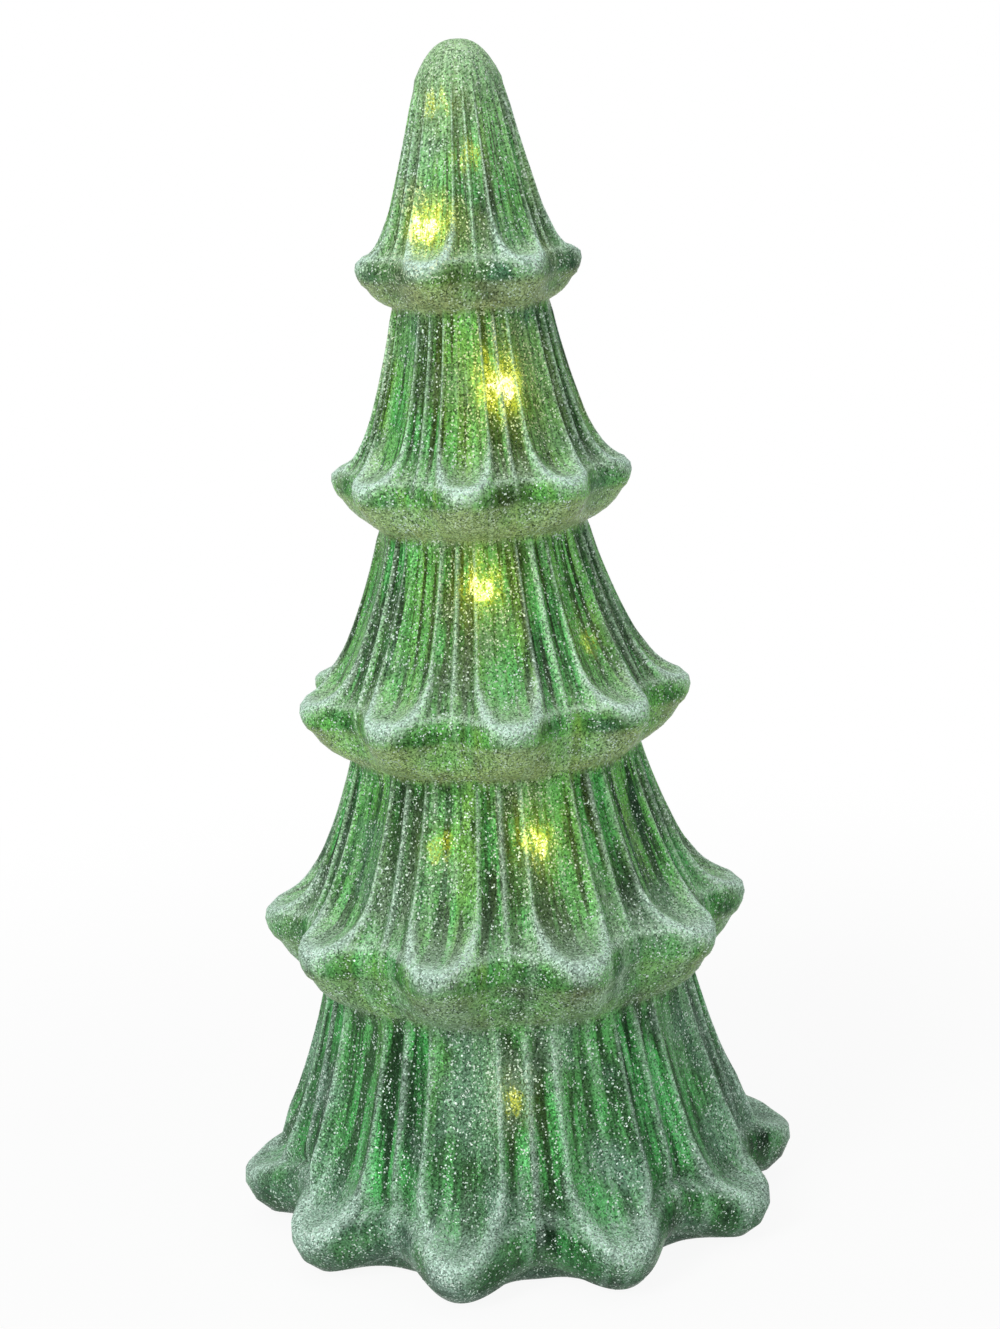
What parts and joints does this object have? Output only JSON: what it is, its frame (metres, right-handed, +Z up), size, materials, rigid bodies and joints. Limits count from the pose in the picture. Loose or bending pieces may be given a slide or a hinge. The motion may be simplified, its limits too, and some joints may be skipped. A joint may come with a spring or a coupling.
{
  "type": "light-up glass christmas tree",
  "caption": "Tabletop Christmas tree of green fluted glass tiers with frosted, lobed rims, lit from inside by a battery light string, with a hinged battery door and slide switch underneath.",
  "frame": {"origin": "on the table, under the tree's axis", "axes": "+Z up along the tree's axis; the pictured front faces -Y"},
  "size_m": [0.1708, 0.1666, 0.355],
  "materials": {
    "glitter_glass": "green glass, silvered inside, dusted with clear glitter",
    "silicone": "milky silicone",
    "base_plastic": "fine spark-eroded grain",
    "box_plastic": "plain moulded",
    "screw_steel": "zinc plated",
    "cell_sleeve": "plain printed sleeve",
    "contact_nickel": "nickel plated",
    "board_green": "solder mask",
    "chip_black": "moulded epoxy",
    "capacitor_sleeve": "shrink sleeve",
    "knob_black": "ribbed moulding",
    "lead_red": "PVC insulation",
    "lead_black": "PVC insulation",
    "clear_acrylic": "clear",
    "copper_wire": "lacquered copper",
    "led_resin": "drop of clear resin over a warm white light"
  },
  "bodies": {
    "tree": {"glass_shell": "glitter_glass", "silicone_seal": "silicone", "base_plate": "base_plastic", "battery_box": "box_plastic", "box_screws": "screw_steel", "hinge_pin": "screw_steel", "battery_1": "cell_sleeve", "battery_2": "cell_sleeve", "battery_3": "cell_sleeve", "positive_contact": "contact_nickel", "negative_contact": "contact_nickel", "left_link_contact": "contact_nickel", "right_link_contact": "contact_nickel", "contact_springs": "contact_nickel", "timer_board": "board_green", "timer_chip": "chip_black", "timer_crystal": "contact_nickel", "filter_capacitor": "capacitor_sleeve", "chip_resistors": "chip_black", "board_screws": "screw_steel", "switch_body": "contact_nickel", "red_lead": "lead_red", "black_lead": "lead_black", "light_stem": "clear_acrylic", "stem_cap": "clear_acrylic", "light_wire": "copper_wire", "led_beads": "led_resin"},
    "door": {"battery_door": "base_plastic"},
    "switch": {"switch_knob": "knob_black"}
  },
  "joints": [
    {"name": "door_hinge", "type": "hinge", "parent": "tree", "child": "door", "pos_m": [-0.0341, 0, 0.0045], "axis": [0, 1, 0], "range_deg": [0, 90]},
    {"name": "switch_slide", "type": "slide", "parent": "tree", "child": "switch", "axis": [1, 0, 0], "range_m": [0, 0.004]}
  ]
}
